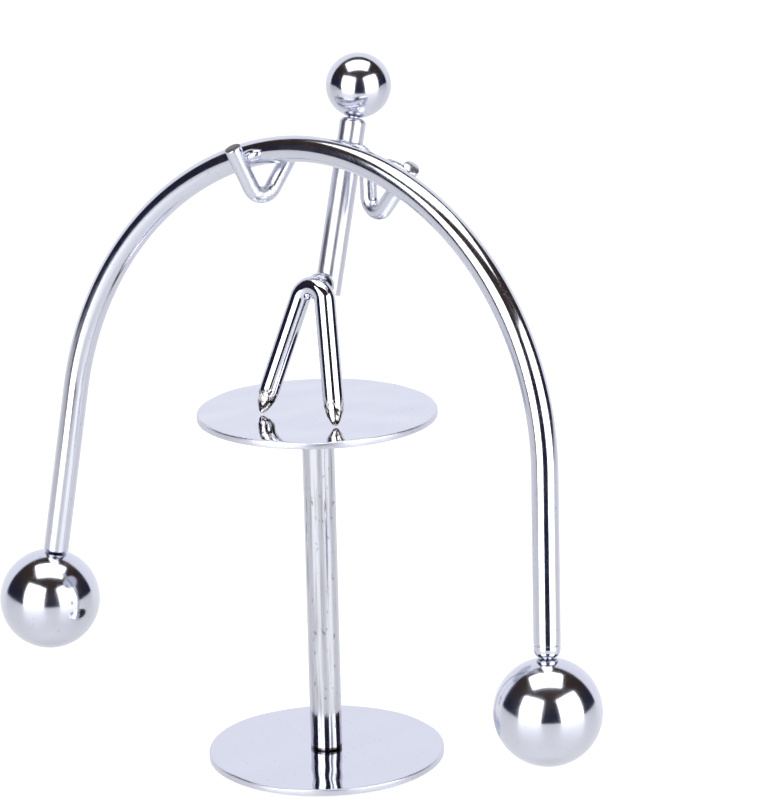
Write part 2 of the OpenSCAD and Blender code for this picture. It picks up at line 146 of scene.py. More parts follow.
def swept(name, centres, along, radii, reference=(0, 1, 0), around=96, loop=False, shift=None):
    """A round skin: ring i is centre i + radius i * (cos t * side + sin t * up), with side and up square to the
    direction there. The first and last centres are its two poles, or the last ring joins the first on a loop."""
    centres, along, radii = (np.asarray(a, float) for a in (centres, along, radii))
    side = np.cross(np.asarray(reference, float), along)
    side /= np.linalg.norm(side, axis=1)[:, None]
    up = np.cross(along, side)
    t = np.linspace(0, 2 * np.pi, around, endpoint=False)
    keep = slice(None) if loop else slice(1, -1)
    c, r, s, u = centres[keep], radii[keep], side[keep], up[keep]
    rings = c[:, None] + r[:, None, None] * (np.cos(t)[None, :, None] * s[:, None]
                                             + np.sin(t)[None, :, None] * u[:, None])
    n = len(c)
    here = np.arange(n * around).reshape(n, around)
    if loop:
        low, high = here, np.roll(here, -1, 0)
    else:
        low, high = here[:-1], here[1:]
    quads = np.stack([low, np.roll(low, -1, 1), np.roll(high, -1, 1), high], -1).reshape(-1, 4)
    points = rings.reshape(-1, 3)
    faces = quads.tolist()
    if not loop:
        first, last = len(points), len(points) + 1
        points = np.concatenate([points, centres[:1], centres[-1:]])
        ends = [np.stack([np.full(around, first), np.roll(here[0], -1), here[0]], -1),
                np.stack([np.full(around, last), here[-1], np.roll(here[-1], -1)], -1)]
        faces += ends[0].tolist() + ends[1].tolist()
    if shift is not None:
        points = shift(points)
    mesh = bpy.data.meshes.new(name)
    mesh.from_pydata((points * MILLIMETRE).tolist(), [], faces)
    mesh.update()
    mesh.shade_smooth()
    mesh.set_sharp_from_angle(angle=SHARP_ANGLE)
    piece = bpy.data.objects.new(name, mesh)
    bpy.context.scene.collection.objects.link(piece)
    return piece


def turned(name, outline, base=(0, 0, 0), axis=(0, 0, 1), **options):
    """A turned piece: an outline of (radius, height) points spun about an axis through its base."""
    outline, axis = np.asarray(outline, float), np.asarray(axis, float)
    centres = np.asarray(base, float) + outline[:, 1:] * axis
    return swept(name, centres, np.repeat(axis[None], len(outline), 0), outline[:, 0],
                 reference=options.pop("reference", (0, 1, 0) if abs(axis[1]) < 0.9 else (1, 0, 0)), **options)


def ripples(x, y, waves, seed, shortest=5.0, longest=26.0):
    """Height of a hand-polished face: a sum of sine waves of random heading, length and phase, each as tall as its
    length, so that all slopes are alike."""
    rng = np.random.default_rng(seed)
    total = np.zeros_like(x)
    for _ in range(waves):
        heading, phase, length = rng.uniform(0, 2 * np.pi), rng.uniform(0, 2 * np.pi), rng.uniform(shortest, longest)
        total += length * np.sin(2 * np.pi * (x * np.cos(heading) + y * np.sin(heading)) / length + phase)
    return total / waves


def leaned(x, drop):
    """A point of the bow's upright plane, leaned back about its top."""
    return np.stack([x, -drop * np.sin(BOW_LEAN), -drop * np.cos(BOW_LEAN)], -1)


def bow_line(run):
    """The bow's centre line at a signed distance from its top: an arc, a wider arc, and a straight."""
    s = np.abs(run)
    top_run = TOP_RADIUS * TOP_HALF
    side_run = SIDE_RADIUS * (SIDE_END - TOP_HALF)
    a = np.where(s < top_run, s / TOP_RADIUS, np.minimum(TOP_HALF + (s - top_run) / SIDE_RADIUS, SIDE_END))
    past = np.maximum(s - top_run - side_run, 0)
    centre_x = (TOP_RADIUS - SIDE_RADIUS) * np.sin(TOP_HALF)
    centre_drop = TOP_RADIUS - (TOP_RADIUS - SIDE_RADIUS) * np.cos(TOP_HALF)
    on_top = s < top_run
    x = np.where(on_top, TOP_RADIUS * np.sin(a), centre_x + SIDE_RADIUS * np.sin(a)) + past * np.cos(SIDE_END)
    drop = np.where(on_top, TOP_RADIUS * (1 - np.cos(a)), centre_drop - SIDE_RADIUS * np.cos(a))
    drop = drop + past * np.sin(SIDE_END)
    way = np.where(run < 0, -1.0, 1.0)
    return (FIGURE_PLACE + BOW_TOP + leaned(way * x, drop),
            leaned(np.cos(a), way * np.sin(a)))


BOW_RUN = TOP_RADIUS * TOP_HALF + SIDE_RADIUS * (SIDE_END - TOP_HALF) + BOW_STRAIGHT


def turned_end(radius, ball_centre, ball_r, round_r, grooved, round_run=None):
    """(radius, distance) of a rod's end down to its spigot's tip: a groove if it has one, then a quarter of an
    ellipse, radius - a * (1 - cos t) at shoulder - b * (1 - sin t)."""
    round_run = round_run or round_r
    shoulder = ball_centre - ball_r - NECK_GAP
    groove = shoulder - round_r - GROOVE_UP
    round_start = shoulder - round_run
    tip = ball_centre - ball_r + SPIGOT_RUN
    t = np.radians(np.linspace(0, 90, 20))
    arc = np.stack([radius - round_r * (1 - np.cos(t)), shoulder - round_run * (1 - np.sin(t))], -1)
    edge = GROOVE_EDGE
    wall = [[radius, groove - GROOVE_W - 3 * edge], [radius, groove - GROOVE_W - edge]]
    ring = [[radius - edge, groove - GROOVE_W], [radius - GROOVE_DEPTH, groove - GROOVE_W + edge],
            [radius - GROOVE_DEPTH, groove - edge], [radius - edge, groove], [radius, groove + edge],
            [radius, groove + 3 * edge]]
    return np.concatenate([
        wall, ring if grooved else wall[1:], [[radius, round_start - 2 * edge], [radius, round_start - edge]],
        arc, [[SPIGOT_R + edge, shoulder + edge / 4], [SPIGOT_R, shoulder + edge], [SPIGOT_R, tip - SPIGOT_BREAK],
              [SPIGOT_R - SPIGOT_BREAK, tip], [0, tip]]])


def ball_outline(radius):
    """(radius, height) of a ball from the floor of its bore, out of the bore's mouth and round to the far pole."""
    lip = BORE_LIP
    start = np.arcsin((BORE_R + lip) / radius)
    t = np.linspace(start, np.pi, 90)
    mouth = -radius * np.cos(start)
    floor = -radius + SPIGOT_RUN + BORE_SPARE
    return np.concatenate([[[0, floor], [BORE_R, floor], [BORE_R, mouth + 2.5 * lip], [BORE_R, mouth + lip],
                            [BORE_R + 0.3 * lip, mouth + 0.3 * lip]],
                           np.stack([radius * np.sin(t), -radius * np.cos(t)], -1)[:-1], [[0, radius]]])


# Camera where the photograph was taken from, its picture 770 by 800
CAMERA_AZIMUTH, CAMERA_RISE = np.radians(37.5556), np.radians(16.412)
CAMERA_AWAY, AIM_HEIGHT = 668.2382, 60.0
PAN, TILT, ROLL = np.radians(1.1194), np.radians(0.9365), np.radians(-1.3247)
FOCAL_PIXELS, PICTURE_WIDTH = 3486.6557, 770
TO_CAMERA = np.array([np.sin(CAMERA_AZIMUTH), -np.cos(CAMERA_AZIMUTH), 0.0])
TO_RIGHT = np.array([np.cos(CAMERA_AZIMUTH), np.sin(CAMERA_AZIMUTH), 0.0])


def unit(v):
    """A direction at length one."""
    return v / np.linalg.norm(v)


def add_camera():
    """Aims the camera: panned and tilted off the line to the object's middle, then rolled."""
    away = TO_CAMERA * np.cos(CAMERA_RISE) + np.array([0, 0, np.sin(CAMERA_RISE)])
    ahead = unit(-away + np.tan(PAN) * TO_RIGHT + np.tan(TILT) * np.cross(TO_RIGHT, -away))
    right = unit(np.cross(ahead, [0, 0, 1]))
    up = np.cross(right, ahead)
    right, up = np.cos(ROLL) * right + np.sin(ROLL) * up, np.cos(ROLL) * up - np.sin(ROLL) * right
    data = bpy.data.cameras.new("camera")
    data.sensor_fit = "HORIZONTAL"
    data.sensor_width = 36
    data.lens = FOCAL_PIXELS / PICTURE_WIDTH * data.sensor_width
    data.clip_start, data.clip_end = 0.01, 20
    camera = bpy.data.objects.new("camera", data)
    bpy.context.scene.collection.objects.link(camera)
    place = (np.array([0, 0, AIM_HEIGHT]) + CAMERA_AWAY * away) * MILLIMETRE
    turn = np.eye(4)
    turn[:3, 0], turn[:3, 1], turn[:3, 2], turn[:3, 3] = right, up, -ahead, place
    camera.matrix_world = Matrix(turn.tolist())
    bpy.context.scene.camera = camera


add_camera()


# Materials: colours, the places of worn and folded metal and of painted shade in millimetres, and depths of bumps in
# metres
CHROME, CHROME_DULL = (0.66, 0.675, 0.76), (0.50, 0.51, 0.58)
# The third colour here is painted shade, for the seam at the column's foot
DRAWN_GREY, SCORED_GREY, SEAM_SHADE_COLOUR = (0.61, 0.62, 0.68), (0.30, 0.30, 0.33), (0.07, 0.05, 0.045)
BARE_STEEL, BRASSY_STEEL, SCRATCH_BLACK = (0.80, 0.80, 0.80), (0.70, 0.67, 0.62), (0.035, 0.03, 0.03)
# This colour is painted shade, for the inside of the elbows' folds
FOLD_SHADE_COLOUR = (0.07, 0.07, 0.09)
# These two near-black colours paint a dark reflection on the left hand's sawn end
SAWN_PAINTED_DARK, SAWN_PAINTED_GREY = (0.05, 0.045, 0.05), (0.22, 0.20, 0.22)
ZINC_DARK, ZINC_LIGHT = (0.45, 0.45, 0.47), (0.66, 0.67, 0.70)
EDGE_DULL, EDGE_ROUGH = 0.5, 0.34
FOOT_GROUND_TOP, FOOT_GROUND_FULL, FOOT_GROUND_ROUGH = 76.4, 72.6, 0.14
FOLD_OFFSET, FOLD_CORE, FOLD_REACH = np.array([0, 0, 3.0]), 1.2, 3.0
SEAM_TOP, SEAM_FULL = 2.15, 1.9
PEEL_DEPTH, FOOT_DEPTH, FOLD_DEPTH, SAW_DEPTH = 0.000006, 0.00012, 0.00035, 0.00003
DRAWN_DEPTH, WELD_DEPTH, ZINC_DEPTH = 0.000014, 0.00009, 0.00002


def new_metal(name):
    """A metal material, its nodes and links, its shader, and the piece's own coordinates."""
    material = bpy.data.materials.new(name)
    material.use_nodes = True
    nodes, links = material.node_tree.nodes, material.node_tree.links
    shader = nodes["Principled BSDF"]
    shader.inputs["Metallic"].default_value = 1.0
    return material, nodes, links, shader, nodes.new("ShaderNodeTexCoord")


def noise(nodes, links, where, scale, detail=3.0, stretch=None):
    """A noise texture on the piece's own coordinates, in waves to the metre, stretched by a mapping if asked."""
    source = where.outputs["Object"]
    if stretch is not None:
        mapping = nodes.new("ShaderNodeMapping")
        mapping.inputs["Scale"].default_value = stretch
        links.new(source, mapping.inputs["Vector"])
        source = mapping.outputs["Vector"]
    texture = nodes.new("ShaderNodeTexNoise")
    texture.inputs["Scale"].default_value = scale
    texture.inputs["Detail"].default_value = detail
    links.new(source, texture.inputs["Vector"])
    return texture.outputs["Fac"]


def ranged(nodes, links, value, low, high, out_low, out_high):
    """A value carried from one range to another, and held inside it."""
    node = nodes.new("ShaderNodeMapRange")
    for key, number in zip(("From Min", "From Max", "To Min", "To Max"), (low, high, out_low, out_high)):
        node.inputs[key].default_value = number
    links.new(value, node.inputs["Value"])
    return node.outputs["Result"]


def tinted(nodes, links, amount, first, second):
    """A colour between two, by an amount. Each of the two is a colour or another node's output."""
    node = nodes.new("ShaderNodeMix")
    node.data_type = "RGBA"
    for slot, colour in ((6, first), (7, second)):
        if isinstance(colour, tuple):
            node.inputs[slot].default_value = (*colour, 1)
        else:
            links.new(colour, node.inputs[slot])
    links.new(amount, node.inputs[0])
    return node.outputs[2]


def joined(nodes, links, first, second, operation):
    """Two amounts added, multiplied or compared."""
    node = nodes.new("ShaderNodeMath")
    node.operation = operation
    links.new(first, node.inputs[0])
    links.new(second, node.inputs[1])
    return node.outputs[0]


def bumped(nodes, links, height, depth, shader):
    """Adds a bump to a shader, on top of the one that it has."""
    node = nodes.new("ShaderNodeBump")
    node.inputs["Strength"].default_value = 1.0
    node.inputs["Distance"].default_value = depth
    links.new(height, node.inputs["Height"])
    if shader.inputs["Normal"].links:
        links.new(feeding(shader, "Normal"), node.inputs["Normal"])
    links.new(node.outputs["Normal"], shader.inputs["Normal"])


def feeding(shader, name):
    """The output that already feeds one of a shader's inputs."""
    return shader.inputs[name].links[0].from_socket


def height_share(nodes, links, where, low, high):
    """From 0 at one height on the piece to 1 at another, in metres."""
    split = nodes.new("ShaderNodeSeparateXYZ")
    links.new(where.outputs["Object"], split.inputs[0])
    return ranged(nodes, links, split.outputs["Z"], low, high, 0, 1)


def measured(nodes, links, where, operation, vector):
    """The piece's coordinates taken through one vector operation with a fixed vector."""
    node = nodes.new("ShaderNodeVectorMath")
    node.operation = operation
    node.inputs[1].default_value = vector
    links.new(where.outputs["Object"], node.inputs[0])
    return node


def chrome_plate(name, shiny, hazy):
    """Polished chrome: a faint haze that comes and goes, sparse fine specks and a soft orange peel. Its parts are
    given back as well, to be changed further."""
    material, nodes, links, shader, where = new_metal(name)
    haze = noise(nodes, links, where, 260, 4)
    links.new(ranged(nodes, links, haze, 0.35, 0.7, shiny, hazy), shader.inputs["Roughness"])
    specks = noise(nodes, links, where, 1500, 2)
    links.new(tinted(nodes, links, ranged(nodes, links, specks, 0.68, 0.75, 0, 1), CHROME, CHROME_DULL),
              shader.inputs["Base Color"])
    bumped(nodes, links, noise(nodes, links, where, 420, 2), PEEL_DEPTH, shader)
    return material, nodes, links, shader, where


def stamped_chrome():
    """The discs' chrome, duller round the rolled edge that the press leaves."""
    material, nodes, links, shader, where = chrome_plate("flat_chrome", shiny=0.04, hazy=0.09)
    across = measured(nodes, links, where, "MULTIPLY", (1, 1, 0))
    from_axis = nodes.new("ShaderNodeVectorMath")
    from_axis.operation = "LENGTH"
    links.new(across.outputs["Vector"], from_axis.inputs[0])
    edge = ranged(nodes, links, from_axis.outputs["Value"], (DISC_R - EDGE_DULL) * MILLIMETRE,
                  (DISC_R - EDGE_DULL / 2) * MILLIMETRE, 0, EDGE_ROUGH)
    links.new(joined(nodes, links, edge, feeding(shader, "Roughness"), "MAXIMUM"), shader.inputs["Roughness"])
    return material


def ground_foot_chrome():
    """The legs' chrome, ground through at both foot tips: brassy metal with dark scratches, ending in a ragged
    line."""
    material, nodes, links, shader, where = chrome_plate("ground_foot_chrome", shiny=0.05, hazy=0.10)
    ragged = ranged(nodes, links, noise(nodes, links, where, 800, 3), 0.3, 0.7, 0, 0.9)
    low = height_share(nodes, links, where, FOOT_GROUND_TOP * MILLIMETRE, FOOT_GROUND_FULL * MILLIMETRE)
    ground = ranged(nodes, links, joined(nodes, links, low, ragged, "SUBTRACT"), 0, 0.15, 0, 1)
    marks = noise(nodes, links, where, 1300, 3, (1, 1, 0.6))
    dark = joined(nodes, links, ranged(nodes, links, marks, 0.54, 0.59, 0, 1), ground, "MULTIPLY")
    brassy = tinted(nodes, links, ranged(nodes, links, marks, 0.35, 0.5, 0, 1), BARE_STEEL, BRASSY_STEEL)
    worn = tinted(nodes, links, ground, feeding(shader, "Base Color"), brassy)
    links.new(tinted(nodes, links, dark, worn, SCRATCH_BLACK), shader.inputs["Base Color"])
    rough = ranged(nodes, links, ground, 0, 1, 0, FOOT_GROUND_ROUGH)
    links.new(joined(nodes, links, rough, feeding(shader, "Roughness"), "MAXIMUM"), shader.inputs["Roughness"])
    bumped(nodes, links, joined(nodes, links, marks, ground, "MULTIPLY"), FOOT_DEPTH, shader)
    return material


def bent_arm_chrome():
    """The arms' chrome, creased where the wire was folded at the elbows, and darker inside each fold by painted
    shade.
    """
    material, nodes, links, shader, where = chrome_plate("bent_arm_chrome", shiny=0.22, hazy=0.30)
    folds = []
    for elbow in (ARM_CORNERS[1], ARM_CORNERS[4]):
        middle = ((elbow + FIGURE_PLACE + FOLD_OFFSET) * MILLIMETRE).tolist()
        from_fold = measured(nodes, links, where, "DISTANCE", middle).outputs["Value"]
        folds.append(ranged(nodes, links, from_fold, FOLD_CORE * MILLIMETRE, FOLD_REACH * MILLIMETRE, 1, 0))
    fold = joined(nodes, links, *folds, "MAXIMUM")
    crease = joined(nodes, links, noise(nodes, links, where, 850, 2, (1, 1, 2.2)), fold, "MULTIPLY")
    # Painted shade: darker inside each elbow's fold, along the crease
    fold_shade = ranged(nodes, links, crease, 0.50, 0.62, 0, 0.85)
    links.new(tinted(nodes, links, fold_shade, feeding(shader, "Base Color"), FOLD_SHADE_COLOUR), shader.inputs["Base Color"])
    bumped(nodes, links, crease, FOLD_DEPTH, shader)
    return material


def cut_end():
    """The sawn end of the left hand's wire: a painted dark reflection in its near-black colour, dull, with fine saw
    lines.
    """
    material, nodes, links, shader, where = new_metal("cut_end")
    lines = noise(nodes, links, where, 2400, 2, (1, 0.2, 0.2))
    # Painted dark reflection: the end face's colour is kept near black
    links.new(tinted(nodes, links, lines, SAWN_PAINTED_DARK, SAWN_PAINTED_GREY), shader.inputs["Base Color"])
    links.new(ranged(nodes, links, lines, 0.3, 0.7, 0.3, 0.5), shader.inputs["Roughness"])
    bumped(nodes, links, lines, SAW_DEPTH, shader)
    return material


def drawn_chrome():
    """Chrome over drawn rod: greyer, with fine marks along its length, and painted shade in the seam at its foot,
    mottled by the pits.
    """
    material, nodes, links, shader, where = new_metal("drawn_chrome")
    lines = noise(nodes, links, where, 1800, 3, (1, 1, 0.035))
    links.new(ranged(nodes, links, lines, 0.3, 0.75, 0.06, 0.18), shader.inputs["Roughness"])
    pits = noise(nodes, links, where, 1100, 2, (1, 1, 0.5))
    scored = joined(nodes, links, ranged(nodes, links, pits, 0.64, 0.74, 0, 1),
                    ranged(nodes, links, lines, 0.52, 0.72, 0, 0.7), "MAXIMUM")
    metal = tinted(nodes, links, scored, DRAWN_GREY, SCORED_GREY)
    # Painted shade: the seam at the rod's foot is darkened, mottled by the pits
    seam_shade = joined(nodes, links, height_share(nodes, links, where, SEAM_TOP * MILLIMETRE, SEAM_FULL * MILLIMETRE),
                  ranged(nodes, links, pits, 0.35, 0.5, 0.4, 1), "MULTIPLY")
    links.new(tinted(nodes, links, seam_shade, metal, SEAM_SHADE_COLOUR), shader.inputs["Base Color"])
    bumped(nodes, links, lines, DRAWN_DEPTH, shader)
    return material


def plated_weld():
    """Chrome over a small weld: gently rippled and duller than the rods beside it."""
    material, nodes, links, shader, where = new_metal("plated_weld")
    lumps = noise(nodes, links, where, 500, 2)
    links.new(ranged(nodes, links, lumps, 0.3, 0.7, 0.12, 0.28), shader.inputs["Roughness"])
    links.new(tinted(nodes, links, ranged(nodes, links, lumps, 0.35, 0.65, 0, 1), CHROME_DULL, CHROME),
              shader.inputs["Base Color"])
    bumped(nodes, links, lumps, WELD_DEPTH, shader)
    return material


def zinc_steel():
    """Zinc on steel: a soft grey with a fine cloudy grain."""
    material, nodes, links, shader, where = new_metal("zinc_steel")
    grain = noise(nodes, links, where, 700, 4)
    links.new(ranged(nodes, links, grain, 0.3, 0.7, 0.25, 0.45), shader.inputs["Roughness"])
    links.new(tinted(nodes, links, grain, ZINC_DARK, ZINC_LIGHT), shader.inputs["Base Color"])
    bumped(nodes, links, grain, ZINC_DEPTH, shader)
    return material


bow_chrome = chrome_plate("bow_chrome", shiny=0.11, hazy=0.16)[0]
ball_chrome = chrome_plate("ball_chrome", shiny=0.12, hazy=0.17)[0]
torso_chrome = chrome_plate("torso_chrome", shiny=0.28, hazy=0.34)[0]
flat_chrome, foot_chrome, arm_chrome = stamped_chrome(), ground_foot_chrome(), bent_arm_chrome()
sawn, drawn, weld, zinc = cut_end(), drawn_chrome(), plated_weld(), zinc_steel()


def finish(piece, node, body, material):
    """Gives a new piece its material and its body, and hides the node it stands for."""
    piece.data.materials.append(material)
    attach(piece, body)
    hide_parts(node)


# Discs
def disc_outline(low):
    """(radius, height) round a solid disc, from its lower pole to its upper one."""
    return rounded([[0, low], [DISC_R, low], [DISC_R, low + DISC_T], [0, low + DISC_T]],
                   [0, DISC_LOW_ROLL, DISC_TOP_ROLL, 0], DISC_STEP)


def ruffled(low, seed, height):
    """Moves a disc's upper face by its ripples, never above the flat, and leaves its under face flat."""
    def shift(p):
        share = np.clip((p[:, 2] - low) / DISC_T, 0, 1)
        waves = ripples(p[:, 0], p[:, 1], RIPPLE_WAVES, seed)
        p = p.copy()
        p[:, 2] += share * height * (waves - waves.max())
        return p
    return shift


BASE_SEED, TABLE_SEED = 3, 8
base_outline = rounded([[BASE_HOLE_START, 0], [DISC_R, 0], [DISC_R, DISC_T], [SCREW_HOLE_R, DISC_T],
                        [SCREW_HOLE_R, SCREW_HEAD_TOP], [SCREW_HEAD_R, 0]],
                       [0, DISC_LOW_ROLL, DISC_TOP_ROLL, HOLE_ROUND, HOLE_ROUND, 0], DISC_STEP)
finish(turned("base_plate", base_outline, around=256, loop=True, shift=ruffled(0, BASE_SEED, BASE_RIPPLE)),
       "base_disc", "stand", flat_chrome)
table_low = TABLE_HEIGHT - DISC_T
finish(turned("table_plate", disc_outline(table_low), around=256,
              shift=ruffled(table_low, TABLE_SEED, TABLE_RIPPLE)), "table_disc", "table", flat_chrome)

# Column
column_top = table_low - COLUMN_GAP
column_outline = np.concatenate([
    [[0, SCREW_BORE_TOP]],
    rounded([[SCREW_HOLE_R, SCREW_BORE_TOP], [SCREW_HOLE_R, DISC_T], [COLUMN_R - COLUMN_BREAK, DISC_T],
             [COLUMN_R, DISC_T + COLUMN_BREAK], [COLUMN_R, column_top - COLUMN_BREAK],
             [COLUMN_R - COLUMN_BREAK, column_top], [STUD_BORE_R, column_top], [STUD_BORE_R, STUD_BORE_FLOOR]],
            COLUMN_ROUND, COLUMN_STEP),
    [[0, STUD_BORE_FLOOR]]])
finish(turned("column_rod", column_outline, around=128), "column", "stand", drawn)

# Bow and its weights
left_end = turned_end(BOW_D / 2, BOW_RUN, WEIGHT_D / 2, LEFT_SHOULDER_ROUND, False)
right_end = turned_end(BOW_D / 2, BOW_RUN, WEIGHT_D / 2, SHOULDER_ROUND, True, SHOULDER_RUN)
middle = np.linspace(-left_end[0, 1], right_end[0, 1], BOW_RINGS)[1:-1]
runs = np.concatenate([-left_end[::-1, 1], middle, right_end[:, 1]])
radii = np.concatenate([left_end[::-1, 0], np.full(len(middle), BOW_D / 2), right_end[:, 0]])
points, along = bow_line(runs)
finish(swept("bow", points, along, radii, reference=(0, np.cos(BOW_LEAN), -np.sin(BOW_LEAN)), around=96),
       "bow_rod", "figure", bow_chrome)
for side, name in ((-1, "left_weight"), (1, "right_weight")):
    centre, way = bow_line(np.array([side * BOW_RUN]))
    finish(turned(name + "_ball", ball_outline(WEIGHT_D / 2), centre[0], way[0] * side, around=160),
           name, "figure", ball_chrome)


# Legs
def foot_outline():
    """(radius, distance up the leg) of a foot: a round tip of radius r, at r * (sin a, -cos a), then a parabola
    (1-t)^2 start + 2t(1-t) bulge + t^2 full that leaves the tip smoothly and ends along the wire."""
    a = np.linspace(0, TIP_ANGLE, 12)[:, None]
    tip = FOOT_TIP_R * np.concatenate([np.sin(a), -np.cos(a)], -1)
    start, full = tip[-1], np.array([LEG_D / 2, FOOT_POINT])
    bulge = np.array([full[0], start[1] + (full[0] - start[0]) * np.tan(TIP_ANGLE)])
    t = np.linspace(0, 1, 40)[1:, None]
    return np.concatenate([tip, (1 - t) ** 2 * start + 2 * t * (1 - t) * bulge + t ** 2 * full])


def leg_stations():
    """Centres, directions and radii along both legs, from one foot's tip over the bend to the other's."""
    left, right = np.array([[-FOOT_OUT, 0, FOOT_HEIGHT], [FOOT_OUT, 0, FOOT_HEIGHT]])
    wire, way = bent([left, LEG_APEX, right], [0, HIP_BEND, 0])
    foot_radii, near = foot_outline().T
    up_left, up_right = unit(LEG_APEX - left), unit(LEG_APEX - right)
    inner = (np.linalg.norm(wire - left, axis=1) > near[-1]) & (np.linalg.norm(wire - right, axis=1) > near[-1])
    centres = np.concatenate([left + near[:, None] * up_left, wire[inner], (right + near[:, None] * up_right)[::-1]])
    ways = np.concatenate([np.repeat(up_left[None], len(near), 0), way[inner],
                           np.repeat(-up_right[None], len(near), 0)])
    radii = np.concatenate([foot_radii, np.full(inner.sum(), LEG_D / 2), foot_radii[::-1]])
    radii[0] = radii[-1] = 0
    return centres + FIGURE_PLACE, ways, radii


leg_centres, leg_ways, leg_radii = leg_stations()
finish(swept("legs", leg_centres, leg_ways, leg_radii, reference=(0, 1, 0), around=96),
       "legs_wire", "figure", foot_chrome)

# Torso and head
torso_up = np.array([0, np.sin(TORSO_LEAN), np.cos(TORSO_LEAN)])
tail = rounded([[0, 0], [TORSO_D / 2, 0], [TORSO_D / 2, TAIL_RUN]], CUT_EDGE)
torso_end = turned_end(TORSO_D / 2, TORSO_RUN, HEAD_D / 2, SHOULDER_ROUND, False)
rings = np.linspace(TAIL_RUN + 1, torso_end[0, 1] - 1, TORSO_RINGS)
torso_outline = np.concatenate([tail, np.stack([np.full(TORSO_RINGS, TORSO_D / 2), rings], -1), torso_end])
finish(turned("torso", torso_outline, FIGURE_PLACE + TORSO_BOTTOM, torso_up),
       "torso_rod", "figure", torso_chrome)
finish(turned("head", ball_outline(HEAD_D / 2), FIGURE_PLACE + TORSO_BOTTOM + torso_up * TORSO_RUN, torso_up,
              around=128), "head_ball", "figure", ball_chrome)


# Arms
def capped(points, ways, radius, edge):
    """Adds flat ends with a broken edge to a wire: centre pole, a smaller ring and the full ring."""
    head = [points[0], points[0], points[0] + ways[0] * edge / 2, points[0] + ways[0] * edge]
    foot_end = [points[-1] - ways[-1] * edge, points[-1] - ways[-1] * edge / 2, points[-1], points[-1]]
    ring = np.array([0, radius - edge, radius - edge * 0.3, radius])
    return (np.concatenate([head, points[1:-1], foot_end]),
            np.concatenate([np.repeat(ways[:1], 4, 0), ways[1:-1], np.repeat(ways[-1:], 4, 0)]),
            np.concatenate([ring, np.full(len(points) - 2, radius), ring[::-1]]))


def sawn_end(piece, end, way, material):
    """Gives the faces of a wire's first end a second material: those near the end point that lie less than half a
    broken edge along the wire from it."""
    piece.data.materials.append(material)
    middles = np.empty(len(piece.data.polygons) * 3)
    piece.data.polygons.foreach_get("center", middles)
    from_end = middles.reshape(-1, 3) / MILLIMETRE - end
    past_end = from_end @ way
    chosen = (past_end < CUT_EDGE / 2) & (past_end > -1) & (np.linalg.norm(from_end, axis=1) < ARM_D)
    piece.data.polygons.foreach_set("material_index", chosen.astype(np.int32))


arm_points, arm_ways = bent(ARM_CORNERS, ARM_BENDS)
arm_centres, arm_ways, arm_radii = capped(arm_points + FIGURE_PLACE, arm_ways, ARM_D / 2, CUT_EDGE)
arms = swept("arms", arm_centres, arm_ways, arm_radii, reference=(0, 1, 0), around=96)
finish(arms, "arms_wire", "figure", arm_chrome)
sawn_end(arms, arm_centres[0], arm_ways[0], sawn)


# Welds
LUMP_WAVES, LUMP_FINENESS, LUMP_HEIGHT = 6, 3.5, 0.07


def weld_lump(name, node, radius, seed, bead=None, stretch=1.0, slide=0.0, lift=0.0):
    """A lump of weld metal at the node's middle: a ball whose radius rises and falls by a few sine waves, drawn out
    and slid along a bead's direction b, and lifted: p + b * ((stretch - 1) * (p . b) + slide) + lift * up."""
    low, high = (np.array(corner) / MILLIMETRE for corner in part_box(node))
    centre = (low + high) / 2
    t = np.linspace(0, np.pi, 60)
    rng = np.random.default_rng(seed)
    waves = rng.uniform(-1, 1, (LUMP_WAVES, 3))
    phase = rng.uniform(0, 2 * np.pi, LUMP_WAVES)

    def shift(p):
        d = (p - centre) / radius
        lumps = np.sin((d @ waves.T) * LUMP_FINENESS + phase).mean(1)
        p = (p - centre) * (1 + LUMP_HEIGHT * lumps[:, None])
        if bead is not None:
            p = p + bead * ((stretch - 1) * (p @ bead)[:, None] + slide) + np.array([0, 0, lift])
        return centre + p

    outline = np.stack([radius * np.sin(t), -radius * np.cos(t)], -1)
    outline[[0, -1], 0] = 0
    finish(turned(name, outline, centre, around=96, shift=shift), node, "figure", weld)


weld_lump("hip_weld_lump", "hip_weld", radius=2.7, seed=1)
weld_lump("shoulder_weld_lump", "shoulder_weld", radius=2.1, seed=2)
left_bead, right_bead = (bow_line(np.array([side * TOP_RADIUS * TOP_HALF]))[1][0] for side in (-1, 1))
weld_lump("left_hand_weld_lump", "left_hand_weld", radius=1.35, seed=5, bead=left_bead, stretch=2.0, slide=1.5,
          lift=0.5)
weld_lump("right_hand_weld_lump", "right_hand_weld", radius=1.65, seed=7, bead=right_bead, stretch=2.2, slide=-2.0)

for node in ("base_screw", "table_stud"):
    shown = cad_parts[node]
    shown.data.materials.clear()
    shown.data.materials.append(zinc)


# Studio: lengths in metres, angles from the line behind the object, and light as seen
CAMERA_LIFT, MIRROR_LIFT, FACE_LIGHT, FACE_GAP = 0.75, 0.55, 3.0, 0.002
PAPER_GREY, PAPER_ROUGH = (0.42, 0.42, 0.43), 0.35
CLOTH_LOW, CLOTH_HIGH, CLOTH_HEIGHTS = (0.014, 0.017, 0.042), (0.040, 0.026, 0.020), (0.5, 4.5)
FLOOR_FRONT, FLOOR_BACK, FLOOR_SIDE, FLOOR_DROP = 0.35, 8.0, 7.0, 0.0003
ROOM_RADIUS, BACKDROP_SIDE, BACKDROP_TOP, ROOM_LOW = 6.0, np.radians(63), np.radians(52), -2.5
SKY_MIRRORED, FILL_LIGHT = (1.0, 1.01, 1.08), 0.3


